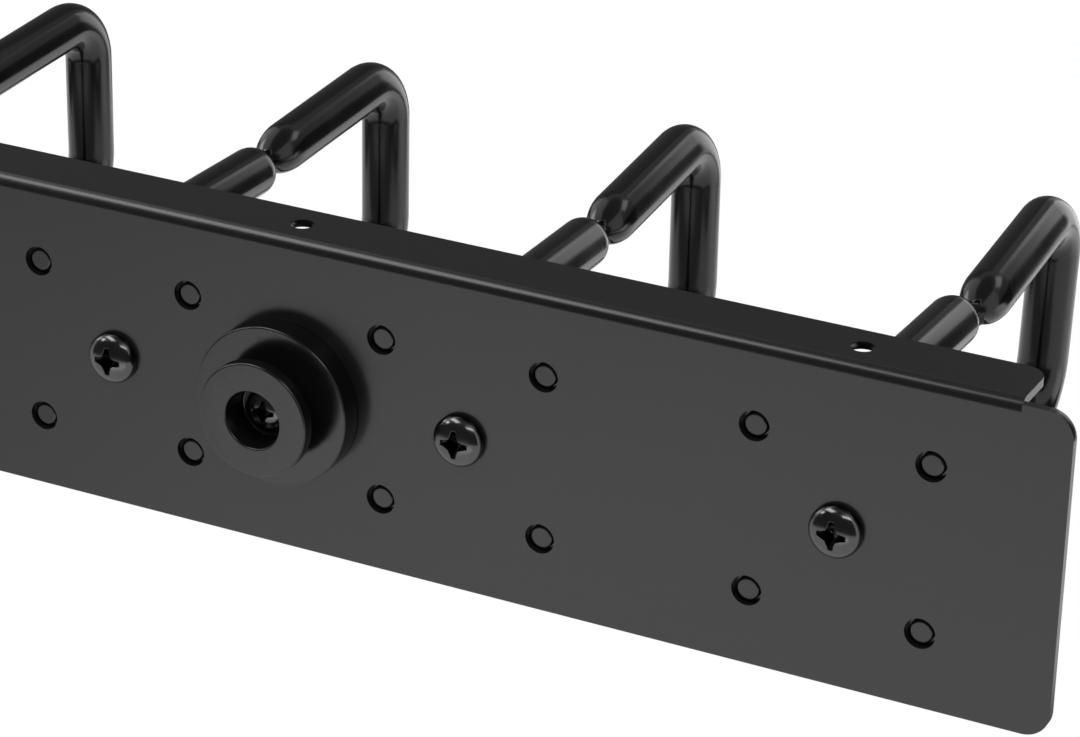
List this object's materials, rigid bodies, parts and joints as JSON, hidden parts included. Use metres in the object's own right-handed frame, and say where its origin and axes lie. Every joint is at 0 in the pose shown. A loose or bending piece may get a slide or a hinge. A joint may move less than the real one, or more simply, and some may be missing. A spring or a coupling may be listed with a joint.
{
  "type": "vertical cable manager",
  "caption": "Zero-unit vertical cable manager for a rack: folded steel strip with keyhole mounting buttons and split plastic cable rings.",
  "frame": {"origin": "midway between the two mounting buttons, in the plane where the rack upright's sheet seats on the button discs, on the line of the ring screws", "axes": "+X along the strip (vertical once it hangs in a rack), -Y from the strip to the rack upright, so the rings stand out towards +Y, +Z towards the folded flange"},
  "size_m": [0.3606, 0.0736, 0.0377],
  "materials": {
    "strip": "black fine-texture powder coat",
    "rings": "glossy black moulded nylon",
    "screws": "glossy black plated steel",
    "buttons": "satin black moulded nylon",
    "nuts": "zinc-plated steel"
  },
  "bodies": {
    "root": {"strip": "strip", "ring_01": "rings", "ring_02": "rings", "ring_03": "rings", "ring_04": "rings", "ring_05": "rings", "ring_06": "rings", "ring_07": "rings", "ring_08": "rings", "ring_screw_01": "screws", "ring_screw_02": "screws", "ring_screw_03": "screws", "ring_screw_04": "screws", "ring_screw_05": "screws", "ring_screw_06": "screws", "ring_screw_07": "screws", "ring_screw_08": "screws", "mount_button_left": "buttons", "button_screw_left": "screws", "button_nut_left": "nuts", "mount_button_right": "buttons", "button_screw_right": "screws", "button_nut_right": "nuts"}
  },
  "joints": []
}
